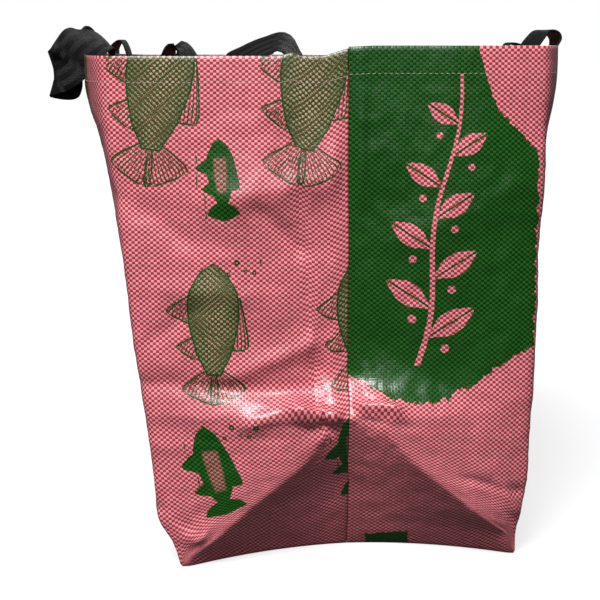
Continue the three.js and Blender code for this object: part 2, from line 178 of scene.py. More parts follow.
# The rim's rise or fall by the share of the way round: left, right. It fades out over RIM_LIFT_FADE.
RIM_LIFT = {
    0: (2, 3), 0.06: (-4, 4), 0.12: (-4, 4), 0.145: (-1, 4), 0.17: (-4, 4), 0.25: (-4, 4),
    0.5: (-3, 1), 0.75: (-6, -4), 1: (-7, -7),
}
RIM_LIFT_FADE = 220
FAR_WIDTH_SHARE = 0.97
FAR_LEAN_AT_RIM = -54
FAR_SHIFT_LEFT = -8
FAR_SHIFT_RIGHT = 38
FAR_TUCK = 14


def read_table(heights, table, column, straight_below=-1):
    """Values of one column of a table at the heights, on a smooth curve, or on straight lines low down."""
    keys = np.array(list(table), float)
    values = np.array([column(row) for row in table.values()], float)
    index = np.clip(np.searchsorted(-keys, -heights, side="right") - 1, 0, len(keys) - 2)
    share = (keys[index] - heights) / (keys[index] - keys[index + 1])
    start, end = values[index], values[index + 1]
    before, after = values[np.maximum(index - 1, 0)], values[np.minimum(index + 2, len(keys) - 1)]
    start_slope, end_slope = (end - before) / 2, (after - start) / 2
    square, cube = share**2, share**3
    smooth = (
        (2 * cube - 3 * square + 1) * start + (cube - 2 * square + share) * start_slope
        + (3 * square - 2 * cube) * end + (cube - square) * end_slope
    )
    return np.where(heights < straight_below, start + (end - start) * share, smooth)


def near_point(column, heights):
    place = COLUMNS.index(column)
    straight = -1 if column.endswith("edge") else BEAK_HEIGHT + CREASE_REACH
    across = read_table(heights, NEAR_SIDE, lambda row: row[place][0], straight)
    deep = read_table(heights, NEAR_SIDE, lambda row: row[place][1], straight)
    return np.stack([across, deep], -1)


def far_point(column, heights):
    near = near_point(column, heights)
    rise = heights / RIM_HEIGHT
    left, right = NEAR_SIDE[0][0][0], NEAR_SIDE[0][-1][0]
    across = np.clip((near[:, 0] - left) / (right - left), 0, 1)
    lean = FAR_LEAN_AT_RIM * rise**2
    shift = (FAR_SHIFT_LEFT + (FAR_SHIFT_RIGHT - FAR_SHIFT_LEFT) * across) * (1 - rise)
    tuck = FAR_TUCK * np.sin(np.pi * np.minimum(rise, 1)) if column == "seam" else 0
    seam_x = near_point("seam", heights)[:, 0]
    far_x = seam_x + (near[:, 0] - seam_x) * FAR_WIDTH_SHARE
    return np.stack([far_x, shift + lean - tuck - near[:, 1]], -1)


def stretch_of_panel(side, stretch, shares, heights):
    """Plan places, one row a height and one column a share, of one stretch of a panel from seam to seam."""
    edge, ridge = ("left_edge", "left_ridge") if side < 0 else ("right_edge", "right_ridge")
    part = shares[None, :, None]
    if stretch == "main_face":
        start, end = near_point(edge, heights)[:, None], far_point(edge, heights)[:, None]
        bulge = read_table(heights, MAIN_FACE_BULGE, lambda row: row[0 if side < 0 else 1])
        places = start + (end - start) * part
        places[..., 0] += side * bulge[:, None] * np.sin(np.pi * shares**0.8)[None] ** 0.8
        return places
    corner, inward = (near_point, 1) if stretch.startswith("near") else (far_point, -1)
    hump = 4 * shares * (1 - shares)
    if stretch.endswith("inner"):
        start, end = corner("seam", heights)[:, None], corner(ridge, heights)[:, None]
        hollow = FACET_HOLLOW * np.maximum(1 - heights / BEAK_HEIGHT, 0)
        places = start + (end - start) * part
        places[..., 1] += inward * hollow[:, None] * hump[None]
        return places
    start, end = corner(ridge, heights)[:, None], corner(edge, heights)[:, None]
    crown = SIDE_CROWN * np.minimum(heights / BEAK_HEIGHT, 1)
    places = start + (end - start) * part
    places[..., 1] -= inward * crown[:, None] * hump[None]
    return places


# Shares at which each stretch is divided, close enough for every crease.
STRETCHES = (
    ("near_inner", np.linspace(0, 1, 33)[:-1]),
    ("near_outer", np.linspace(0, 1, 37)[:-1]),
    ("main_face", (1 - np.cos(np.pi * np.linspace(0, 1, 93))) * 0.15 + np.linspace(0, 1, 93) * 0.7),
    ("far_outer", np.linspace(1, 0, 27)[1:]),
    ("far_inner", np.linspace(1, 0, 21)[1:]),
)
ROW_STEP = 3.5
WALL_HEIGHTS = np.concatenate([
    np.arange(RIM_HEIGHT, 150, -ROW_STEP), np.arange(150, 112, -1.9), np.arange(112, 1, -3.1), [0],
])
BASE_SHARES = np.linspace(0, 1, 27)[1:]


def rim_lift(side, around, heights):
    lifts = np.interp(around, list(RIM_LIFT), [row[0 if side < 0 else 1] for row in RIM_LIFT.values()])
    rise = np.clip((heights - RIM_HEIGHT + RIM_LIFT_FADE) / RIM_LIFT_FADE, 0, 1)
    return rise[:, None] * lifts[None]


def lengths_along(points, axis):
    steps = np.linalg.norm(np.diff(points, axis=axis), axis=-1)
    start = np.zeros_like(np.take(steps, [0], axis=axis))
    return np.cumsum(np.concatenate([start, steps], axis=axis), axis=axis)


def panel_points(side):
    """The outer face of one panel, rows down the wall and in along the base, in the maker's table frame."""
    plan = np.concatenate(
        [stretch_of_panel(side, stretch, shares, WALL_HEIGHTS) for stretch, shares in STRETCHES], axis=1)
    around = lengths_along(plan[-1:], 1)[0]
    around /= around[-1]
    heights = WALL_HEIGHTS[:, None] + rim_lift(side, around, WALL_HEIGHTS)
    wall = np.concatenate([plan, heights[..., None]], -1)
    wall[..., 0] += side * SEAM_GAP / 2
    base_line = wall[-1]
    seam_line = np.zeros_like(base_line)
    seam_line[:, 0] = base_line[0, 0]
    seam_line[:, 1] = -BASE_SEAM_HALF + 2 * BASE_SEAM_HALF * around
    base = base_line[None] + (seam_line - base_line)[None] * BASE_SHARES[:, None, None]
    return np.concatenate([wall, base])


def outward_normals(points, side):
    down = np.gradient(points, axis=0)
    along = np.gradient(points, axis=1)
    normal = np.cross(down, along) * side
    return normal / np.maximum(np.linalg.norm(normal, axis=-1, keepdims=True), 1e-9)


# Folds and dents pressed into the cloth, on the laid-out panel: millimetres from the near seam and down
# from the rim. A ridge has a height above nothing and a valley one below nothing.
FOLDS = (
    # side, start, end, half_width, height
    (-1, (93, 113), (16, 98), 22, 5.0),
    (-1, (44, 297), (6, 301), 5, 6.0),
    (-1, (30, 311), (6, 312), 6, -3.2),
    (1, (6, 300), (36, 303), 5, 5.6),
    (1, (6, 311), (22, 313), 6, -2.4),
    (1, (16, 288), (44, 308), 5, 1.6),
    (-1, (98, 264), (36, 240), 9, 3.0),
    (-1, (167, 270), (106, 273), 8, -2.5),
    (-1, (106, 273), (41, 278), 8, -3.5),
    (-1, (81, 304), (44, 289), 8, 3.5),
    (-1, (44, 289), (28, 310), 6, 3.0),
    (-1, (27, 263), (27, 293), 10, -2.5),
    (-1, (160, 391), (138, 421), 8, 3.0),
    (-1, (170, 380), (150, 398), 7, -2.0),
    (-1, (164, 233), (126, 207), 6, -1.6),
    (-1, (71, 126), (41, 156), 9, -2.2),
    (-1, (186, 113), (129, 148), 15, -2.2),
    (-1, (150, 190), (80, 196), 12, 1.6),
    (-1, (60, 60), (20, 150), 12, -1.2),
    (-1, (330, 60), (420, 330), 26, 4.0),
    (-1, (540, 90), (470, 380), 22, -4.0),
    (-1, (300, 330), (560, 250), 12, 3.0),
    (1, (8, 0), (8, 118), 7, 1.6),
    (1, (106, 374), (152, 378), 6, -2.2),
    (1, (138, 376), (150, 396), 6, 2.4),
    (1, (60, 150), (130, 120), 20, 1.6),
    (1, (30, 250), (110, 300), 16, -1.4),
    (1, (300, 80), (420, 300), 26, 3.5),
    (1, (560, 100), (480, 360), 20, -3.5),
    (1, (260, 340), (520, 270), 12, 2.6),
)
FOLD_STRENGTH = 1.5
BEAK_PLACE = (6, 302)
BEAK_REACH = 34
BEAK_CRUMPLE = 1.3
# The size and height of the creases at each scale. The widest is a soft dent, and the others are sharp.
CRUMPLE_SCALES = ((62, 1.7), (27, 1.7), (12, 0.8))
SHARP_BELOW = 60
# Where the cloth lies calm: along the seams, at the hem, above the base and round the sewn webbing.
SEAM_CALM = 14
HEM_CALM_SHARE = 0.25
HEM_CALM_REACH = 30
BASE_CALM = 26
SEWN_PLACES = (-90, 38)
SEWN_MIDDLE = 398
SEWN_CALM = 34
SEWN_FADE = 25
FACE_STARTS = 150


def gentle_step(values, start, end):
    share = np.clip((values - start) / (end - start), 0, 1)
    return share * share * (3 - 2 * share)


def crumple(across, down, seed):
    """Sharp little creases at a few scales, as laminated cloth keeps once it has been folded up."""
    total = np.zeros(across.size)
    for scale, height in CRUMPLE_SCALES:
        places = zip(across.ravel() / scale, down.ravel() / scale)
        values = np.array([noise.noise(Vector((x, y, seed + scale))) for x, y in places])
        total += height * (0.25 - np.abs(values)) if scale < SHARP_BELOW else height * values
    return total.reshape(across.shape)


def pressed_depth(side, points, across, down, wall_rows):
    """How far the folds and creases push each place of the panel out or in."""
    depth = np.zeros(across.shape)
    for fold_side, start, end, half_width, height in FOLDS:
        if fold_side != side:
            continue
        run = np.subtract(end, start)
        length = np.hypot(*run)
        share = ((across - start[0]) * run[0] + (down - start[1]) * run[1]) / length**2
        off = np.abs((across - start[0]) * run[1] - (down - start[1]) * run[0]) / length
        beyond = np.maximum(np.abs(share - 0.5) - 0.5, 0) * length
        profile = np.exp(-((off / half_width) ** 1.5) - (beyond / (half_width * 1.4)) ** 2)
        depth += FOLD_STRENGTH * height * profile
    from_beak = np.hypot(across - BEAK_PLACE[0], (down - BEAK_PLACE[1]) * 1.3)
    near_beak = np.exp(-((from_beak / BEAK_REACH) ** 2))
    depth += crumple(across, down, 7 * side) * (1 + BEAK_CRUMPLE * near_beak)
    whole = across.max(1, keepdims=True)
    depth *= gentle_step(across, 0, SEAM_CALM) * gentle_step(whole - across, 0, SEAM_CALM)
    below_hem = gentle_step(down, HEM_DEPTH - 6, HEM_DEPTH + HEM_CALM_REACH)
    depth *= HEM_CALM_SHARE + (1 - HEM_CALM_SHARE) * below_hem
    for place in SEWN_PLACES:
        from_sewn = np.hypot(points[..., 1] - place, (points[..., 2] - SEWN_MIDDLE) * 0.8)
        on_face = np.abs(points[..., 0] - 2) > FACE_STARTS
        depth *= np.where(on_face, gentle_step(from_sewn, SEWN_CALM, SEWN_CALM + SEWN_FADE), 1)
    depth *= gentle_step(points[..., 2], 0, BASE_CALM)
    depth[wall_rows:] = 0
    return depth


def smoothed(points, passes):
    """Rounds the corners between the stretches, and the bend into the base once."""
    for _ in range(passes):
        points[:, 1:-1] = points[:, :-2] / 4 + points[:, 1:-1] / 2 + points[:, 2:] / 4
    points[1:-1] = points[:-2] / 4 + points[1:-1] / 2 + points[2:] / 4
    return points


HEM_ROWS = 8
HEM_EDGE_DROP = 0.3
FOLD_RISE = 0.4
HEM_SIDE_STEP = 0.6
CORNER_PASSES = 2
TURNED_IN = (0.6, 3, 6, SEAM_ALLOWANCE)


def whole_sheet(side):
    """The printed face of a panel with its hem and seam allowances, and where each point lies laid out."""
    points = smoothed(panel_points(side), CORNER_PASSES)
    across, down = lengths_along(points, 1), lengths_along(points, 0)
    wall_rows = len(WALL_HEIGHTS)
    normals = outward_normals(points, side)
    points = points + normals * pressed_depth(side, points, across, down, wall_rows)[..., None]
    points[..., 2] = np.maximum(points[..., 2], 0)
    normals = outward_normals(points, side)
    hem = (points - normals * HEM_GAP)[HEM_ROWS::-1]
    hem[-1, :, 2] -= HEM_EDGE_DROP
    fold = points[:1] - normals[:1] * HEM_GAP / 2 + (0, 0, FOLD_RISE)
    sheet = np.concatenate([hem, fold, points])
    inward = np.concatenate([-normals[HEM_ROWS::-1], -normals[:1], -normals])
    across = np.concatenate([across[HEM_ROWS::-1], across[:1], across])
    down = np.concatenate([-down[HEM_ROWS::-1], down[:1], down])
    hem_side_step = np.zeros((len(sheet), 3))
    hem_side_step[:HEM_ROWS + 1, 0] = HEM_SIDE_STEP * side
    for end, sign in ((0, -1), (-1, 1)):
        edge, way = sheet[:, end], inward[:, end] * (0, 1, 1)
        way_length = np.linalg.norm(way, axis=-1, keepdims=True)
        way = np.where(way_length > 1e-6, way / np.maximum(way_length, 1e-6), (0, 0, 1))
        order = slice(None, None, sign)
        added = np.stack([edge + way * step + hem_side_step for step in TURNED_IN], 1)[:, order]
        places = np.stack([across[:, end] + sign * step for step in TURNED_IN], 1)[:, order]
        kept = np.repeat(down[:, end:][:, :1], len(TURNED_IN), 1)
        kept_inward = np.repeat(inward[:, end:][:, :1], len(TURNED_IN), 1)
        sheet = np.concatenate([added, sheet][::-sign], 1)
        inward = np.concatenate([kept_inward, inward][::-sign], 1)
        across = np.concatenate([places, across][::-sign], 1)
        down = np.concatenate([kept, down][::-sign], 1)
    rise = [sheet[-1:] + (0, 0, step) for step in TURNED_IN]
    sheet = np.concatenate([sheet] + rise)
    across = np.concatenate([across] + [across[-1:]] * len(TURNED_IN))
    down = np.concatenate([down] + [down[-1:] + step for step in TURNED_IN])
    return sheet, across, down, points, normals


def smooth_mesh(name, points, faces):
    mesh = bpy.data.meshes.new(name)
    mesh.from_pydata(points, [], faces)
    mesh.polygons.foreach_set("use_smooth", [True] * len(mesh.polygons))
    return mesh


def sheet_object(name, side, sheet, across, down):
    rows, columns = sheet.shape[:2]
    index = np.arange(rows * columns).reshape(rows, columns)
    faces = np.stack([index[:-1, :-1], index[1:, :-1], index[1:, 1:], index[:-1, 1:]], -1).reshape(-1, 4)
    if side < 0:
        faces = faces[:, ::-1]
    mesh = smooth_mesh(name, ((sheet + TO_FRAME) * MM).reshape(-1, 3).tolist(), faces.tolist())
    laid_out = (np.stack([across * side, down], -1) * MM).reshape(-1, 2)[faces.ravel()]
    mesh.uv_layers.new(name="cloth").data.foreach_set("uv", laid_out.ravel())
    return put_in_scene(name, mesh)


def apply_modifiers(piece):
    bpy.context.view_layer.update()
    solid = bpy.data.meshes.new_from_object(piece.evaluated_get(bpy.context.evaluated_depsgraph_get()))
    piece.modifiers.clear()
    piece.data = solid


# Cloth finish
# Polypropylene tapes in plain weave, light pink one way and dark red the other, printed green and laminated
# with a clear glossy film on the outside. The inside is the bare weave.
TAPE_ACROSS = 2.54
TAPE_DOWN = 2.13
LIGHT_TAPE = (0.90, 0.30, 0.345, 1)
DARK_TAPE = (0.31, 0.032, 0.042, 1)
GREEN_ON_LIGHT = (0.012, 0.115, 0.007, 1)
GREEN_ON_DARK = (0.002, 0.026, 0.002, 1)
FINE_LINE_GREEN = (0.008, 0.055, 0.007, 1)
CARP_ON_LIGHT = (0.36, 0.37, 0.17, 1)
CARP_ON_DARK = (0.055, 0.060, 0.016, 1)
CARP_COVER = 0.75
FINE_LINE_COVER = 0.8
BARE_PALER = 0.25
# How the ink's cover and the shades are worked out: a noise or the tape's bulge, times the first, plus the
# second. The shade by the tape's bulge is painted shade, darker towards each tape's edges where it dips under
# the crossing tapes. The scales of the noises are per millimetre.
INK_COVER = (-0.5, 1.42)
BLOTCH_SHADE = (0.30, 0.70)
TAPE_EDGE_PAINTED_SHADE = (0.22, 0.80)
WARP_SHADE = 0.09
WEFT_SHADE = 0.07
BLOTCH_SCALE = 0.02
GRAIN_SCALE = 0.35
WRINKLE_SCALE = 0.09
# The tapes' own relief in millimetres, and the film's fine wrinkles as a multiple of it.
TAPE_RISE = 0.09
WRINKLE_RISE = 8.0
FILM_ROUGHNESS = 0.21
FILM_COAT = 0.15
BARE_ROUGHNESS = 0.5
LINE_HALF_WIDTH = 0.75
PRINT_WOBBLE = 1.6
FISH_REPEAT = 124
FISH_START = -196
LEAF_REPEAT = 303


class FinishNodes:
    """Adds nodes to a finish one after another, each after the ones that it reads."""

    def __init__(self, name):
        self.finish = bpy.data.materials.new(name)
        self.finish.use_nodes = True
        self.tree = self.finish.node_tree
        self.shader = self.tree.nodes["Principled BSDF"]

    def node(self, kind, result=0, settings=None, **inputs):
        made = self.tree.nodes.new(kind)
        for name, value in (settings or {}).items():
            setattr(made, name, value)
        for name, value in inputs.items():
            key = int(name[1:]) if name[1:].isdigit() else name.replace("_", " ")
            self.put(made.inputs[key], value)
        return made.outputs[result]

    def put(self, socket, value):
        if isinstance(value, bpy.types.NodeSocket):
            self.tree.links.new(value, socket)
        else:
            socket.default_value = value

    def look(self, **values):
        """Gives the shader's sockets their values, or the nodes that work them out."""
        for name, value in values.items():
            self.put(self.shader.inputs[name.replace("_", " ")], value)

    def laid_out(self, layer):
        """A place on the laid-out piece in millimetres, as a vector, and its across and down."""
        place = self.node("ShaderNodeUVMap", 0, {"uv_map": layer})
        in_mm = self.node("ShaderNodeVectorMath", 0, {"operation": "SCALE"}, i0=place, Scale=1 / MM)
        split = self.tree.nodes.new("ShaderNodeSeparateXYZ")
        self.put(split.inputs[0], in_mm)
        return in_mm, split.outputs[0], split.outputs[1]

    def maths(self, operation, first, second=0.0, third=0.0, clamp=False):
        settings = {"operation": operation, "use_clamp": clamp}
        return self.node("ShaderNodeMath", 0, settings, i0=first, i1=second, i2=third)

    def plus(self, first, second):
        return self.maths("ADD", first, second)

    def minus(self, first, second):
        return self.maths("SUBTRACT", first, second)

    def times(self, first, second):
        return self.maths("MULTIPLY", first, second)

    def over(self, first, second):
        return self.maths("DIVIDE", first, second)

    def scaled(self, value, factor, rise, clamp=False):
        return self.maths("MULTIPLY_ADD", value, factor, rise, clamp)

    def absolute(self, value):
        return self.maths("ABSOLUTE", value)

    def clouds(self, place, scale, detail, roughness=0.5):
        settings = {"noise_dimensions": "2D"}
        return self.node("ShaderNodeTexNoise", 0, settings, Vector=place, Scale=scale, Detail=detail,
                         Roughness=roughness)

    def from_point(self, place, point):
        settings = {"operation": "DISTANCE"}
        return self.node("ShaderNodeVectorMath", 1, settings, i0=place, i1=(*point, 0))

    def least(self, *values):
        total = values[0]
        for value in values[1:]:
            total = self.maths("MINIMUM", total, value)
        return total

    def most(self, *values):
        total = values[0]
        for value in values[1:]:
            total = self.maths("MAXIMUM", total, value)
        return total

    def crisp(self, distance, softness=0.35):
        return self.maths("MULTIPLY_ADD", distance, 1 / softness, 0.5, clamp=True)

    def curve(self, share, rows, reach):
        """Reads a drawn edge: rows of (share of the length, millimetres)."""
        made = self.tree.nodes.new("ShaderNodeFloatCurve")
        self.tree.links.new(share, made.inputs["Value"])
        mapping = made.mapping
        mapping.use_clip = False
        points = mapping.curves[0].points
        while len(points) < len(rows):
            points.new(0.5, 0.5)
        for point, (place, value) in zip(points, rows):
            point.location = (place, value / reach)
            point.handle_type = "AUTO_CLAMPED"
        mapping.update()
        return self.maths("MULTIPLY", made.outputs[0], reach)

    def mix(self, share, first, second):
        settings = {"data_type": "RGBA"}
        return self.node("ShaderNodeMix", 2, settings, i0=share, i6=first, i7=second)


def outline(nodes, inside):
    """A line drawn along the edge of a shape."""
    return nodes.crisp(nodes.minus(LINE_HALF_WIDTH, nodes.absolute(inside)))


def mirrored(edge):
    """The other edge of an even shape."""
    return [(share, -reach) for share, reach in edge]


def stripes(nodes, value, pitch, share):
    """Lines across a value: 1 on a line, with the share of the pitch that a line covers."""
    place = nodes.maths("FLOORED_MODULO", value, pitch)
    from_line = nodes.absolute(nodes.minus(place, pitch / 2))
    return nodes.crisp(nodes.minus(pitch * share / 2, from_line))


def motif_part(nodes, place, start, end, low, high):
    """One part of a motif, lying along a line between two drawn edges."""
    length = math.dist(start, end)
    way = ((end[0] - start[0]) / length, (end[1] - start[1]) / length)
    off = nodes.node("ShaderNodeVectorMath", 0, {"operation": "SUBTRACT"}, i0=place, i1=(*start, 0))
    dot = {"operation": "DOT_PRODUCT"}
    along = nodes.node("ShaderNodeVectorMath", 1, dot, i0=off, i1=(*way, 0))
    beside = nodes.node("ShaderNodeVectorMath", 1, dot, i0=off, i1=(way[1], -way[0], 0))
    share = nodes.over(along, length)
    reach = max(abs(value) for _, value in low + high)
    low_edge, high_edge = nodes.curve(share, low, reach), nodes.curve(share, high, reach)
    to_low = nodes.minus(beside, low_edge)
    to_high = nodes.minus(high_edge, beside)
    to_ends = nodes.least(along, nodes.minus(length, along))
    inside = nodes.least(to_low, to_high, to_ends)
    width = nodes.most(nodes.minus(high_edge, low_edge), 0.5)
    spread = nodes.over(to_low, width)
    return {"along": along, "beside": beside, "inside": inside, "spread": spread, "share": share}


# One plain fish serves for all, nose up. Its body is a blunt spindle and its fins are fans, all in shares
# of its own length and half width, so that each fish below needs only its place and its size.
BODY_SHAPE = ((0, 0.04), (0.12, 0.62), (0.4, 1), (0.72, 0.78), (1, 0.27))
FAN_SHAPE = ((0, 0.25), (0.5, 0.75), (0.9, 1), (1, 0.6))
FANS = (
    # root and tip as (share of the length, share of the half width to the right), half width of the fan
    ((0.97, 0.1), (1.22, 0.62), 0.17), ((0.97, -0.1), (1.22, -0.62), 0.17),
    ((0.3, 0.95), (0.78, 0.95), 0.09),
    ((0.3, -0.86), (0.5, -1.3), 0.14), ((0.66, -0.62), (0.82, -1.05), 0.12),
)
FISH = (
    # nose, tail root, half width, fill: the two large carp are in line, the two small fish solid
    ((50, -34), (36, 74), 27, "line"), ((84, 168), (84, 262), 21, "line"),
    ((91, 66), (94, 118), 10.5, "solid"), ((74, 306), (82, 384), 14, "solid"),
)
SCALE_PITCH = 4.6
RAY_PITCH = 3.2
BELLY_PITCH = 2.2
LINE_SHARE = 0.3
RAY_SHARE = 0.34
FAN_MOST = 0.75
# Rising bubbles as (across, down, radius), and groups of water strokes as (across, down, length).
BUBBLE_SPOTS = ((90, 172), (84, 312))
BUBBLES = tuple((7 * turn, 5.5 * math.sin(2.2 * turn), 1.3 + 0.55 * (turn % 3)) for turn in range(6))
STROKE_SPOTS = ((72, 76), (55, 318))
STROKES = tuple((3.4 * turn - 3 * (turn % 2), 15 * turn, 12 + 3 * (turn % 3)) for turn in range(4))


def fish_print(nodes, x, y):
    """Line-drawn carp and small solid fish, repeating round the cloth. Gives ink, body tint, fine lines."""
    jitter = nodes.clouds(nodes.node("ShaderNodeCombineXYZ", X=x, Y=y), 0.5, 2.0)
    wobble = nodes.scaled(jitter, PRINT_WOBBLE, -PRINT_WOBBLE / 2)
    in_repeat = nodes.maths("FLOORED_MODULO", nodes.minus(x, FISH_START), FISH_REPEAT)
    u, v = nodes.plus(in_repeat, wobble), nodes.plus(y, wobble)
    place = nodes.node("ShaderNodeCombineXYZ", X=u, Y=v)
    ink, tint, fine = 0.0, 0.0, 0.0
    for nose, tail, half_width, fill in FISH:
        length = math.dist(nose, tail)
        down = ((tail[0] - nose[0]) / length, (tail[1] - nose[1]) / length)

        def spot(share, beside):
            return tuple(nose[k] + down[k] * share * length + (down[1], -down[0])[k] * beside * half_width
                         for k in (0, 1))

        edge = [(share, reach * half_width) for share, reach in BODY_SHAPE]
        body = motif_part(nodes, place, nose, tail, mirrored(edge), edge)
        shape = nodes.crisp(body["inside"])
        flank = nodes.absolute(nodes.minus(body["spread"], 0.5))
        if fill == "line":
            down_right = nodes.plus(body["along"], body["beside"])
            down_left = nodes.minus(body["along"], body["beside"])
            lines = nodes.most(
                stripes(nodes, down_right, SCALE_PITCH, LINE_SHARE),
                stripes(nodes, down_left, SCALE_PITCH, LINE_SHARE))
            shade = nodes.scaled(flank, 1.5, -0.15, clamp=True)
            cover = nodes.most(nodes.times(lines, 0.9), shade)
            tint = nodes.most(tint, shape)
        else:
            # The ink is full at the flanks, the head and the tail end, and the belly is grained.
            belly = nodes.scaled(flank, 5, -0.4, clamp=True)
            head = nodes.scaled(body["share"], -12, 4.2, clamp=True)
            vent = nodes.scaled(body["share"], 8, -5.6, clamp=True)
            grain = stripes(nodes, nodes.plus(body["along"], body["beside"]), BELLY_PITCH, 0.5)
            cover = nodes.most(belly, head, vent, nodes.scaled(grain, 0.35, 0.4))
        drawn = nodes.times(cover, shape)
        drawn = nodes.most(drawn, outline(nodes, body["inside"]))
        outside = nodes.minus(1, shape)
        for root, tip, spread in FANS:
            most = half_width * FAN_MOST
            edge = [(share, min(reach * spread * length, most)) for share, reach in FAN_SHAPE]
            fan = motif_part(nodes, place, spot(*root), spot(*tip), mirrored(edge), edge)
            if fill == "line":
                widest = 2 * max(reach for _, reach in edge)
                rays = stripes(nodes, nodes.times(fan["spread"], widest), RAY_PITCH, RAY_SHARE)
                rays = nodes.times(rays, nodes.crisp(fan["inside"]))
                lines = nodes.most(rays, outline(nodes, fan["inside"]))
                drawn = nodes.most(drawn, nodes.times(lines, outside))
            else:
                drawn = nodes.most(drawn, nodes.crisp(fan["inside"]))
        ink = nodes.most(ink, drawn)
        if fill == "line":
            fine = nodes.most(fine, drawn)
    for spot_x, spot_y in BUBBLE_SPOTS:
        for step_x, step_y, radius in BUBBLES:
            off = nodes.from_point(place, (spot_x + step_x, spot_y + step_y))
            inner = nodes.minus(off, radius * 0.3)
            ring = nodes.least(nodes.minus(radius, off), inner)
            ink = nodes.most(ink, nodes.crisp(ring))
    for spot_x, spot_y in STROKE_SPOTS:
        for step_x, step_y, length in STROKES:
            share = nodes.over(nodes.minus(v, spot_y + step_y), length)
            sway = nodes.maths("SINE", nodes.times(share, math.pi))
            off = nodes.minus(nodes.minus(u, spot_x + step_x), sway)
            middle = nodes.absolute(nodes.minus(share, 0.5))
            width = nodes.scaled(middle, -1.2, 0.6)
            line = nodes.crisp(nodes.minus(width, nodes.absolute(off)))
            ink = nodes.most(ink, line)
    return ink, tint, fine


# The green field is a plain ragged patch of like size and colour, with a generic sprig left bare in it.
FIELD_WIDTH = 156
FIELD_REACH = 320
RAGGED = 18
FIELD_TOP = ((0, -10), (0.6, -10), (0.76, 45), (1, 85))
FIELD_BOTTOM = ((0, 272), (0.35, 296), (1, 248))
STEM_FOOT = (58, 264)
STEM_TOP = (90, 22)
STEM_SWAY = 4.5
STEM_TURNS = 9.4
LEAVES = 8
LOWEST_LEAF = 0.1
LEAF_SPAN = 0.84
LEAF_LENGTH = 50
LEAF_EDGE = ((0, 0.5), (0.2, 5), (0.5, 10), (0.82, 5.5), (1, 0.3))
BERRY = 3.8
BERRY_STEP = (16, 9)
# The dark patch by the base seam: its top and bottom down the cloth, and its left and right edges.
PATCH = (453, 472, 16, 54)


def leaf_print(nodes, x, y):
    """A ragged green field with a plain leafy sprig left bare in it, repeating round the cloth."""
    place = nodes.node("ShaderNodeCombineXYZ", X=x, Y=y)
    rag = nodes.scaled(nodes.clouds(place, 0.11, 4.0, 0.7), RAGGED, -RAGGED / 2)
    wobble = nodes.scaled(nodes.clouds(place, 0.5, 2.0), PRINT_WOBBLE, -PRINT_WOBBLE / 2)
    u = nodes.maths("FLOORED_MODULO", x, LEAF_REPEAT)
    share = nodes.over(u, FIELD_WIDTH)
    ragged_y = nodes.plus(y, rag)
    above = nodes.minus(ragged_y, nodes.curve(share, FIELD_TOP, FIELD_REACH))
    below = nodes.minus(nodes.curve(share, FIELD_BOTTOM, FIELD_REACH), ragged_y)
    beside = nodes.minus(FIELD_WIDTH, nodes.plus(u, nodes.times(rag, 0.6)))
    field = nodes.crisp(nodes.least(above, below, beside))
    u, v = nodes.plus(u, wobble), nodes.plus(y, wobble)
    place = nodes.node("ShaderNodeCombineXYZ", X=u, Y=v)
    stem_run = (STEM_TOP[0] - STEM_FOOT[0], STEM_TOP[1] - STEM_FOOT[1])
    rise = nodes.over(nodes.minus(STEM_FOOT[1], v), -stem_run[1])
    stem_x = nodes.scaled(rise, stem_run[0], STEM_FOOT[0])
    sway = nodes.times(nodes.maths("SINE", nodes.times(rise, STEM_TURNS)), STEM_SWAY)
    off = nodes.absolute(nodes.minus(u, nodes.plus(stem_x, sway)))
    in_stem = nodes.minus(nodes.scaled(rise, -1.2, 2.5), off)
    in_height = nodes.least(rise, nodes.minus(1, rise))
    bare = nodes.crisp(nodes.least(in_stem, nodes.times(in_height, 100)))
    for number in range(LEAVES):
        to_side = -1 if number % 2 else 1
        up = LOWEST_LEAF + LEAF_SPAN * number / LEAVES
        smaller = 1 - 0.3 * up
        root_x = STEM_FOOT[0] + stem_run[0] * up + STEM_SWAY * math.sin(STEM_TURNS * up)
        root_y = STEM_FOOT[1] + stem_run[1] * up
        length = LEAF_LENGTH * (1 - 0.45 * up)
        tip = (root_x + to_side * length * 0.84, root_y - length * 0.54)
        edge = [(part, reach * smaller) for part, reach in LEAF_EDGE]
        leaf = motif_part(nodes, place, (root_x, root_y), tip, mirrored(edge), edge)
        rib = nodes.crisp(nodes.minus(nodes.absolute(leaf["beside"]), 0.8))
        blade = nodes.times(nodes.crisp(leaf["inside"]), rib)
        far = nodes.from_point(place, (root_x + to_side * BERRY_STEP[0], root_y + BERRY_STEP[1]))
        berry = nodes.crisp(nodes.minus(BERRY * smaller, far))
        bare = nodes.most(bare, blade, berry)
    ink = nodes.times(field, nodes.minus(1, bare))
    low, high, left, right = PATCH
    patch = nodes.least(
        nodes.minus(u, left), nodes.minus(right, u),
        nodes.minus(y, low), nodes.minus(high, y))
    ink = nodes.most(ink, nodes.crisp(nodes.scaled(rag, 0.5, patch)))
    return ink, None, None


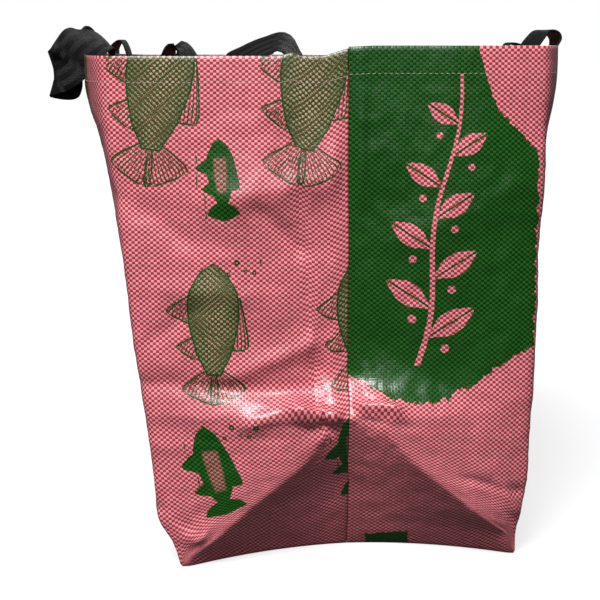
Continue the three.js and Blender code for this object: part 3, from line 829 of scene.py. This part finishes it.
def woven_finish(name, make_print):
    """The weave with its print and film, or the bare inside where there is no print."""
    nodes = FinishNodes(name)
    in_mm, x, y = nodes.laid_out("cloth")
    in_tapes = [nodes.over(x, TAPE_ACROSS), nodes.over(y, TAPE_DOWN)]
    numbers = [nodes.maths("FLOOR", value) for value in in_tapes]
    light = nodes.maths("FLOORED_MODULO", nodes.plus(*numbers), 2)
    bulges = []
    for value in in_tapes:
        off = nodes.absolute(nodes.scaled(nodes.maths("FRACT", value), 2, -1))
        bulges.append(nodes.minus(1, nodes.maths("POWER", off, 3)))
    pillow = nodes.times(*bulges)
    warp_shade = nodes.node("ShaderNodeTexWhiteNoise", 0, {"noise_dimensions": "1D"}, W=numbers[0])
    weft_shade = nodes.node("ShaderNodeTexWhiteNoise", 0, {"noise_dimensions": "1D"}, W=numbers[1])
    blotch = nodes.clouds(in_mm, BLOTCH_SCALE, 3.0)
    grain = nodes.clouds(in_mm, GRAIN_SCALE, 3.0)
    ground = nodes.mix(light, DARK_TAPE, LIGHT_TAPE)
    if make_print is None:
        ground = nodes.mix(BARE_PALER, ground, LIGHT_TAPE)
    else:
        ink, tint, fine = make_print(nodes, x, y)
        if tint is not None:
            pale = nodes.mix(light, CARP_ON_DARK, CARP_ON_LIGHT)
            ground = nodes.mix(nodes.times(tint, CARP_COVER), ground, pale)
        green = nodes.mix(light, GREEN_ON_DARK, GREEN_ON_LIGHT)
        if fine is not None:
            green = nodes.mix(nodes.times(fine, FINE_LINE_COVER), green, FINE_LINE_GREEN)
        wear = nodes.scaled(grain, *INK_COVER, clamp=True)
        ground = nodes.mix(nodes.times(ink, wear), ground, green)
    shade = nodes.times(warp_shade, WARP_SHADE)
    shade = nodes.plus(shade, nodes.times(weft_shade, WEFT_SHADE))
    shade = nodes.plus(shade, nodes.scaled(blotch, *BLOTCH_SHADE))
    # Painted shade: each tape's colour is darker towards its edges and in the gaps where it dips under the
    # crossing tapes.
    shade = nodes.times(shade, nodes.scaled(pillow, *TAPE_EDGE_PAINTED_SHADE))
    colour = nodes.node("ShaderNodeVectorMath", 0, {"operation": "SCALE"}, i0=ground, Scale=shade)
    gloss = nodes.scaled(grain, 0.2, FILM_ROUGHNESS if make_print else BARE_ROUGHNESS)
    wrinkle = nodes.clouds(in_mm, WRINKLE_SCALE, 4.0, 0.6)
    height = nodes.scaled(wrinkle, WRINKLE_RISE, pillow)
    relief = nodes.node("ShaderNodeBump", 0, Strength=0.8, Distance=TAPE_RISE * MM, Height=height)
    nodes.look(
        Base_Color=colour, Roughness=gloss, Normal=relief, Specular_IOR_Level=0.42,
        Coat_Weight=FILM_COAT if make_print else 0.0, Coat_Roughness=0.32)
    return nodes.finish


cloth_back = woven_finish("bare_weave", None)
panel_grids = {}
for side, name, node, slot, make_print in (
    (-1, "fish_cloth_panel", "fish_panel", "fish_cloth", fish_print),
    (1, "leaf_cloth_panel", "leaf_panel", "leaf_cloth", leaf_print),
):
    sheet, across, down, outer, normals = whole_sheet(side)
    panel_grids[side] = (outer, normals)
    piece = sheet_object(name, side, sheet, across, down)
    piece.data.materials.append(woven_finish(slot, make_print))
    piece.data.materials.append(cloth_back)
    thicken = piece.modifiers.new("cloth_thickness", "SOLIDIFY")
    thicken.thickness = CLOTH_THICKNESS * MM
    thicken.offset = -1
    thicken.material_offset = 1
    thicken.material_offset_rim = 1
    apply_modifiers(piece)
    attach(piece, "root")
    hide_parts(node)


# Webbing handles
# One length of black ribbed polypropylene webbing each side, its two ends sewn flat to the outside of the
# main face below the rim, and its loop turned over into the bag.
WEBBING_WIDTH = 38
WEBBING_THICKNESS = 1.6
WEBBING_GAP = 0.5
SEWN_TOP = 428
SEWN_LENGTH = 62
SEWN_STEPS = 5
STRAIGHT_ABOVE = 9
STEPS_BETWEEN = 6
WAY_PASSES = 6
EDGE_ROUND = 0.4
SEAT_REACH = 12
# The middle of the webbing and the way across it, at stops along the loop from one sewn end to the other.
LEFT_RUN = (
    ((-237, -92, 441), (-0.5, 0.8, -0.3)), ((-238, -98, 442), (-0.6, 0.4, -0.7)),
    ((-236, -108, 437), (-0.2, 0.4, -0.9)), ((-233, -119, 427), (0, 0.5, -0.85)),
    ((-232, -131, 418), (0, 0.5, -0.9)), ((-234, -141, 413), (0, 0.3, -1)),
    ((-241, -147, 413), (0.05, 0.1, -1)), ((-249, -150, 415), (0, 0, -1)),
    ((-248, -156, 418), (0.1, 0, -1)), ((-242, -159, 421), (0.2, 0, -1)),
    ((-237, -160, 425), (0.25, 0.1, -0.95)), ((-234, -159, 431), (0.3, 0.2, -0.9)),
    ((-229, -153, 438), (0.45, 0, -0.8)), ((-222, -140, 444), (0.55, -0.5, -0.6)),
    ((-216, -120, 445), (0.35, -0.93, -0.1)), ((-209, -99, 434), (0.1, -1, -0.2)),
    ((-199, -80, 414), (0.1, -1, -0.4)), ((-188, -66, 394), (0.1, -0.9, -0.4)),
    ((-173, -50, 362), (0.2, -0.93, -0.3)), ((-157, -32, 332), (0.5, -0.8, -0.25)),
    ((-142, -8, 306), (0.85, -0.5, -0.1)), ((-134, 18, 298), (1, -0.1, 0)),
    ((-137, 41, 316), (0.95, 0.3, 0)), ((-143, 52, 354), (0.85, 0.5, 0)),
    ((-148, 55, 392), (0.7, 0.7, 0)), ((-154, 57, 425), (0.6, 0.75, 0.1)),
    ((-163, 56, 436), (0.55, 0.75, 0.1)), ((-172, 53, 424), (0.4, 0.85, 0.2)),
    ((-181, 47, 396), (0.3, 0.9, 0.2)), ((-192, 41, 374), (0.2, 1, 0)),
    ((-202, 38, 384), (0.1, 1, 0)), ((-207, 38, 410), (0, 1, 0)),
    ((-209, 38, 434), (0, 1, 0)), ((-215, 38, 445), (0, 1, 0)),
)
RIGHT_RUN = (
    ((190, -90, 446), (-0.1, 1, 0)), ((186, -91, 452), (-0.2, 1, 0)), ((178, -92, 453), (-0.22, 1, 0)),
    ((171, -94, 446), (-0.25, 1, 0.05)), ((159, -95, 429), (-0.25, 1, 0.1)),
    ((136, -92, 402), (-0.2, 1, 0.2)), ((90, -83, 368), (-0.1, 1, 0.4)), ((40, -75, 354), (0, 1, 0.5)),
    ((-5, -68, 384), (0, 0.9, 0.5)), ((-36, -62, 420), (0, 0.9, 0.5)), ((-55, -58, 442), (0, 0.9, 0.5)),
    ((-76, -50, 437), (0.1, 0.9, 0.5)), ((-100, -32, 423), (0.3, 0.45, 0.85)),
    ((-112, -4, 412), (0.1, 0.1, 1)), ((-99, 26, 400), (0, -0.3, 0.95)),
    ((-62, 42, 380), (0, -0.6, 0.8)), ((-12, 50, 357), (0, -0.85, 0.5)), ((46, 50, 338), (0, -1, 0.2)),
    ((104, 45, 350), (0, -1, 0)), ((144, 40, 396), (0, -1, 0)), ((161, 38, 430), (0, -1, 0)),
    ((167, 38, 442), (0, -1, 0)),
)


def seat(side, across_y, height):
    """The middle of the webbing on the outside of a main face, the way across it and the way out."""
    outer = panel_grids[side][0]
    first = sum(len(shares) for _, shares in STRETCHES[:2])
    face = slice(first, first + len(STRETCHES[2][1]))
    rows = slice(0, len(WALL_HEIGHTS) // 2)
    points = outer[rows, face]

    def level(z):
        lines = [[np.interp(-z, -points[:, column, 2], points[:, column, axis]) for axis in (0, 1)]
                 for column in range(points.shape[1])]
        return np.array(lines)

    here = level(height)
    above, below = level(height + SEAT_REACH / 2), level(height - SEAT_REACH / 2)

    def at(line, y):
        return np.array([np.interp(y, line[:, 1], line[:, 0]), y])

    place = np.array([*at(here, across_y), height])
    along = np.array([*(at(here, across_y + SEAT_REACH) - at(here, across_y - SEAT_REACH)), 0])
    drop = np.array([*(at(above, across_y) - at(below, across_y)), SEAT_REACH])
    along /= np.linalg.norm(along)
    out = np.cross(along, drop)
    out *= side * np.sign(out[0]) / np.linalg.norm(out)
    return place + out * (WEBBING_GAP + WEBBING_THICKNESS / 2), along, out


def handle_stops(side, run):
    heights = [SEWN_TOP - SEWN_LENGTH * (1 - step / SEWN_STEPS) for step in range(SEWN_STEPS + 1)]
    ends = []
    for across_y in SEWN_PLACES:
        sewn = [seat(side, across_y, height)[:2] for height in heights]
        rise = sewn[-1][0] - sewn[-2][0]
        sewn.append((sewn[-1][0] + rise / np.linalg.norm(rise) * STRAIGHT_ABOVE, sewn[-1][1]))
        ends.append(sewn)
    middle = [(np.array(centre, float), np.array(across, float)) for centre, across in run]
    stops = ends[0] + middle + ends[1][::-1]
    fixed = [stops[0]]
    for centre, across in stops[1:]:
        across = across / np.linalg.norm(across)
        fixed.append((centre, across if across @ fixed[-1][1] >= 0 else -across))
    return fixed


def between(knot, points, knots, first, last):
    """The place at a knot on the straight line through two points that have knots of their own."""
    share = (knot - knots[first]) / (knots[last] - knots[first])
    return points[first] + (points[last] - points[first]) * share


def smooth_run(stops):
    """Centripetal curve through the stops, with the way across the webbing turned along with it."""
    centres = np.array([centre for centre, _ in stops])
    ways = np.array([way for _, way in stops])
    padded = np.vstack([2 * centres[0] - centres[1], centres, 2 * centres[-1] - centres[-2]])
    path, across = [], []
    for index in range(len(centres) - 1):
        four = padded[index:index + 4]
        gaps = np.maximum(np.linalg.norm(np.diff(four, axis=0), axis=1) ** 0.5, 1e-3)
        knots = np.concatenate([[0], np.cumsum(gaps)])
        for step in range(STEPS_BETWEEN):
            share = step / STEPS_BETWEEN
            knot = knots[1] + gaps[1] * share
            sides = [between(knot, four, knots, k, k + 1) for k in range(3)]
            halves = [between(knot, (sides[k], sides[k + 1]), (knots[k], knots[k + 2]), 0, 1) for k in (0, 1)]
            path.append(between(knot, halves, knots[1:3], 0, 1))
            across.append(ways[index] + (ways[index + 1] - ways[index]) * share)
    path.append(centres[-1])
    across.append(ways[-1])
    path, across = np.array(path), np.array(across)
    tangent = np.gradient(path, axis=0)
    tangent /= np.linalg.norm(tangent, axis=1, keepdims=True)
    for _ in range(WAY_PASSES):
        across[1:-1] = across[:-2] / 4 + across[1:-1] / 2 + across[2:] / 4
    across -= (across * tangent).sum(1, keepdims=True) * tangent
    across /= np.linalg.norm(across, axis=1, keepdims=True)
    return path, across, np.cross(tangent, across)


def webbing_section():
    half, thick = WEBBING_WIDTH / 2, WEBBING_THICKNESS / 2
    upper = [(share * (half - EDGE_ROUND), thick) for share in (-1, -0.6, -0.2, 0.2, 0.6, 1)]
    lower = [(across, -rise) for across, rise in reversed(upper)]
    return upper + [(half, 0)] + lower + [(-half, 0)]


def webbing_piece(name, stops):
    path, across, out = smooth_run(stops)
    along = lengths_along(path, 0)
    section = webbing_section()
    ring = len(section)
    points = [centre + way * a + rise * b for centre, way, rise in zip(path, across, out) for a, b in section]
    faces = [
        [row * ring + k, row * ring + (k + 1) % ring, (row + 1) * ring + (k + 1) % ring, (row + 1) * ring + k]
        for row in range(len(path) - 1) for k in range(ring)
    ]
    faces += [list(range(ring))[::-1], list(range((len(path) - 1) * ring, len(path) * ring))]
    mesh = smooth_mesh(name, ((np.array(points) + TO_FRAME) * MM).tolist(), faces)
    places = [(a * MM, length * MM) for length in along for a, _ in section]
    loops = [places[corner] for face in faces for corner in face]
    mesh.uv_layers.new(name="webbing").data.foreach_set("uv", np.array(loops).ravel())
    return put_in_scene(name, mesh), float(along[-1]) * MM


RIB_PITCH = 1.5
YARN_PITCH = 1.1
HERRINGBONE_WIDTH = 9.5
HERRINGBONE_SHIFT = 100
RIB_RISE = 0.18
YARN_RISE = 0.4
WEBBING_DARK = (0.0012, 0.0012, 0.0014, 1)
WEBBING_LIGHT = (0.0075, 0.0075, 0.008, 1)


def webbing_finish():
    nodes = FinishNodes("webbing")
    in_mm, x, y = nodes.laid_out("webbing")
    slant = nodes.maths("PINGPONG", nodes.plus(x, HERRINGBONE_SHIFT), HERRINGBONE_WIDTH / 2)
    ribs = nodes.times(nodes.plus(y, slant), 2 * math.pi / RIB_PITCH)
    ribs = nodes.maths("SINE", ribs)
    yarns = nodes.maths("SINE", nodes.times(x, 2 * math.pi / YARN_PITCH))
    fuzz = nodes.clouds(in_mm, 0.6, 4.0)
    # Painted shade and highlight: the webbing is darker in the grooves between its ribs and lighter on their
    # crests, with a random fuzz in its tone as well.
    tone = nodes.scaled(nodes.plus(ribs, fuzz), 0.3, 0.35, clamp=True)
    height = nodes.scaled(yarns, YARN_RISE, ribs)
    relief = nodes.node("ShaderNodeBump", 0, Strength=0.9, Distance=RIB_RISE * MM, Height=height)
    nodes.look(
        Base_Color=nodes.mix(tone, WEBBING_DARK, WEBBING_LIGHT), Normal=relief, Specular_IOR_Level=0.2,
        Roughness=nodes.scaled(fuzz, 0.25, 0.42))
    return nodes.finish


webbing = webbing_finish()
for side, name, node, run in (
    (-1, "left_webbing_handle", "left_handle", LEFT_RUN),
    (1, "right_webbing_handle", "right_handle", RIGHT_RUN),
):
    piece, length = webbing_piece(name, handle_stops(side, run))
    piece.data.materials.append(webbing)
    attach(piece, "root")
    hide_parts(node)


# Stitches
# Lockstitch in pale thread round the hem and in black thread on the webbing ends, there as a box with a
# cross. Each line of points is a seam, and one stitch is set on every pitch along it.
STITCH_PITCH = 4.5
STITCH_SIZE = (3.0, 0.45, 0.4)
HEM_STITCH_DROP = 21
THREAD_RISE = 0.12
BOX_INSET = (4, 6)
BOX_STEPS = 12
PALE_THREAD = (0.62, 0.42, 0.43, 1)
BLACK_THREAD = (0.03, 0.03, 0.032, 1)


def thread_finish(name, colour):
    nodes = FinishNodes(name)
    place = nodes.node("ShaderNodeTexCoord", 3)
    twist = nodes.node("ShaderNodeTexNoise", 0, Vector=place, Scale=1500.0, Detail=2.0)
    shade = nodes.mix(twist, tuple(0.7 * value for value in colour[:3]) + (1,), colour)
    nodes.look(Base_Color=shade, Roughness=0.6)
    return nodes.finish


def one_stitch(name):
    rings, around = 5, 8
    points, faces = [], []
    for ring in range(rings):
        angle = math.pi * (ring + 0.5) / rings
        for turn in range(around):
            spin = 2 * math.pi * turn / around
            points.append((
                -math.cos(angle) * STITCH_SIZE[0] * MM / 2,
                math.sin(angle) * math.cos(spin) * STITCH_SIZE[1] * MM / 2,
                math.sin(angle) * math.sin(spin) * STITCH_SIZE[2] * MM / 2,
            ))
    for ring in range(rings - 1):
        for turn in range(around):
            here, beside = ring * around + turn, ring * around + (turn + 1) % around
            faces.append((here, here + around, beside + around, beside))
    faces.append(tuple(range(around)))
    faces.append(tuple(range((rings - 1) * around, rings * around))[::-1])
    return put_in_scene(name, smooth_mesh(name, points, faces))


def stitch_rows_group():
    """Sets one stitch on every pitch of a line, turned along it."""
    group = bpy.data.node_groups.new("stitch_rows", "GeometryNodeTree")
    for name, kind in (
        ("Geometry", "Geometry"), ("Stitch pitch", "Float"), ("Stitch", "Object"), ("Thread", "Material"),
    ):
        group.interface.new_socket(name, in_out="INPUT", socket_type="NodeSocket" + kind)
    group.interface.new_socket("Geometry", in_out="OUTPUT", socket_type="NodeSocketGeometry")
    new = group.nodes.new
    given, result = new("NodeGroupInput"), new("NodeGroupOutput")
    to_curve = new("GeometryNodeMeshToCurve")
    resample = new("GeometryNodeResampleCurve")
    resample.mode = "LENGTH"
    tangent = new("GeometryNodeInputTangent")
    turn = new("FunctionNodeAlignRotationToVector")
    turn.axis = "X"
    source = new("GeometryNodeObjectInfo")
    place = new("GeometryNodeInstanceOnPoints")
    real = new("GeometryNodeRealizeInstances")
    dress = new("GeometryNodeSetMaterial")
    for start, output, end, socket in (
        (given, "Geometry", to_curve, "Mesh"), (to_curve, "Curve", resample, "Curve"),
        (given, "Stitch pitch", resample, "Length"), (resample, "Curve", place, "Points"),
        (given, "Stitch", source, "Object"), (source, "Geometry", place, "Instance"),
        (tangent, "Tangent", turn, "Vector"), (turn, "Rotation", place, "Rotation"),
        (place, "Instances", real, "Geometry"), (real, "Geometry", dress, "Geometry"),
        (given, "Thread", dress, "Material"), (dress, "Geometry", result, "Geometry"),
    ):
        group.links.new(start.outputs[output], end.inputs[socket])
    return group


stitch = one_stitch("one_stitch")
stitch_rows = stitch_rows_group()


def sew(name, lines, thread):
    """Makes one piece of all the stitches along some lines of points, in the maker's table frame."""
    points, edges = [], []
    for line in lines:
        first = len(points)
        points += [tuple((np.array(point) + TO_FRAME) * MM) for point in line]
        edges += [(first + k, first + k + 1) for k in range(len(line) - 1)]
    mesh = bpy.data.meshes.new(name)
    mesh.from_pydata(points, edges, [])
    piece = put_in_scene(name, mesh)
    rows = piece.modifiers.new("stitch_rows", "NODES")
    rows.node_group = stitch_rows
    values = {"Stitch pitch": STITCH_PITCH * MM, "Stitch": stitch, "Thread": thread}
    for socket in stitch_rows.interface.items_tree:
        if socket.in_out == "INPUT" and socket.name in values:
            rows[socket.identifier] = values[socket.name]
    apply_modifiers(piece)
    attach(piece, "root")


def hem_line(side):
    outer, normals = panel_grids[side]
    row = round(HEM_STITCH_DROP / ROW_STEP)
    return outer[row, 1:-1] + normals[row, 1:-1] * THREAD_RISE


def box_and_cross(side, across_y):
    half = WEBBING_WIDTH / 2 - BOX_INSET[0]
    low, high = SEWN_TOP - SEWN_LENGTH + BOX_INSET[1], SEWN_TOP - BOX_INSET[1]
    corners = [(-half, low), (half, low), (half, high), (-half, high), (-half, low), (half, high)]
    lines = []
    for start, end in list(zip(corners, corners[1:])) + [((half, low), (-half, high))]:
        line = []
        for step in range(BOX_STEPS + 1):
            sideways = start[0] + (end[0] - start[0]) * step / BOX_STEPS
            height = start[1] + (end[1] - start[1]) * step / BOX_STEPS
            place, along, out = seat(side, across_y, height)
            line.append(place + along * sideways + out * (WEBBING_THICKNESS / 2 + THREAD_RISE))
        lines.append(line)
    return lines


pale_thread = thread_finish("pale_thread", PALE_THREAD)
black_thread = thread_finish("black_thread", BLACK_THREAD)
for side, name, slot in ((-1, "fish_hem_stitches", "fish_cloth"), (1, "leaf_hem_stitches", "leaf_cloth")):
    sew(name, [hem_line(side)], pale_thread)
for side, name in ((-1, "left_handle_stitches"), (1, "right_handle_stitches")):
    seams = [line for across_y in SEWN_PLACES for line in box_and_cross(side, across_y)]
    sew(name, seams, black_thread)
bpy.data.objects.remove(stitch)
